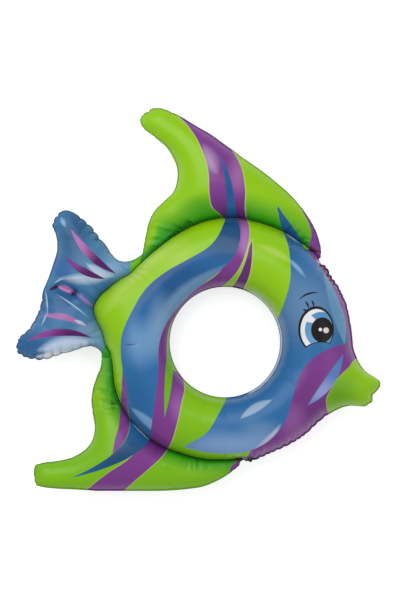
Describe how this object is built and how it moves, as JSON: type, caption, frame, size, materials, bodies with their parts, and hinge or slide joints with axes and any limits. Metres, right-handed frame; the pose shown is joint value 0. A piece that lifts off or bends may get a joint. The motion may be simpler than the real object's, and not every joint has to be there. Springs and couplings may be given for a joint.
{
  "type": "inflatable fish swim ring",
  "caption": "Inflatable swim ring shaped as a tropical fish: round tube with a snout, three puffed fins and two push-in valves on the back.",
  "frame": {"origin": "centre of the ring's round opening, in the plane of the welds", "axes": "+X to the fish's snout, +Y to its dorsal fin, +Z out of the front sheet; the float lies flat on its back sheet"},
  "size_m": [0.6802, 0.7211, 0.1234],
  "materials": {
    "body_film": "glossy printed film",
    "tail_film": "glossy printed film",
    "valve_vinyl": "soft milky vinyl"
  },
  "bodies": {
    "float": {"ring_front": "body_film", "ring_back": "body_film", "dorsal_fin_front": "body_film", "dorsal_fin_back": "body_film", "anal_fin_front": "body_film", "anal_fin_back": "body_film", "tail_front": "tail_film", "tail_back": "tail_film", "ring_valve_pad": "valve_vinyl", "fin_valve_pad": "valve_vinyl"},
    "ring_stem": {"ring_valve_stem": "valve_vinyl", "ring_valve_strap": "valve_vinyl"},
    "ring_stopper": {"ring_valve_stopper": "valve_vinyl"},
    "ring_flap": {"ring_valve_flap": "valve_vinyl"},
    "fin_stem": {"fin_valve_stem": "valve_vinyl", "fin_valve_strap": "valve_vinyl"},
    "fin_stopper": {"fin_valve_stopper": "valve_vinyl"},
    "fin_flap": {"fin_valve_flap": "valve_vinyl"}
  },
  "joints": [
    {"name": "ring_stem_pull", "type": "slide", "parent": "float", "child": "ring_stem", "axis": [-0.2227, 0.4918, -0.8418], "range_m": [0, 0.013]},
    {"name": "ring_stopper_pull", "type": "slide", "parent": "ring_stem", "child": "ring_stopper", "axis": [-0.2227, 0.4918, -0.8418], "range_m": [0, 0.012], "deforming": ["ring_valve_strap"]},
    {"name": "ring_flap_swing", "type": "hinge", "parent": "ring_stem", "child": "ring_flap", "pos_m": [0.05243, -0.13137, -0.03085], "axis": [0.6922, -0.5283, -0.4918], "range_deg": [0, 50], "stiffness_Nm_per_rad": 0.00002},
    {"name": "fin_stem_pull", "type": "slide", "parent": "float", "child": "fin_stem", "axis": [0.1213, 0.0312, -0.9921], "range_m": [0, 0.013]},
    {"name": "fin_stopper_pull", "type": "slide", "parent": "fin_stem", "child": "fin_stopper", "axis": [0.1213, 0.0312, -0.9921], "range_m": [0, 0.012], "deforming": ["fin_valve_strap"]},
    {"name": "fin_flap_swing", "type": "hinge", "parent": "fin_stem", "child": "fin_flap", "pos_m": [0.00985, 0.28224, -0.01917], "axis": [-0.4802, 0.8766, -0.0312], "range_deg": [0, 50], "stiffness_Nm_per_rad": 0.00002}
  ]
}
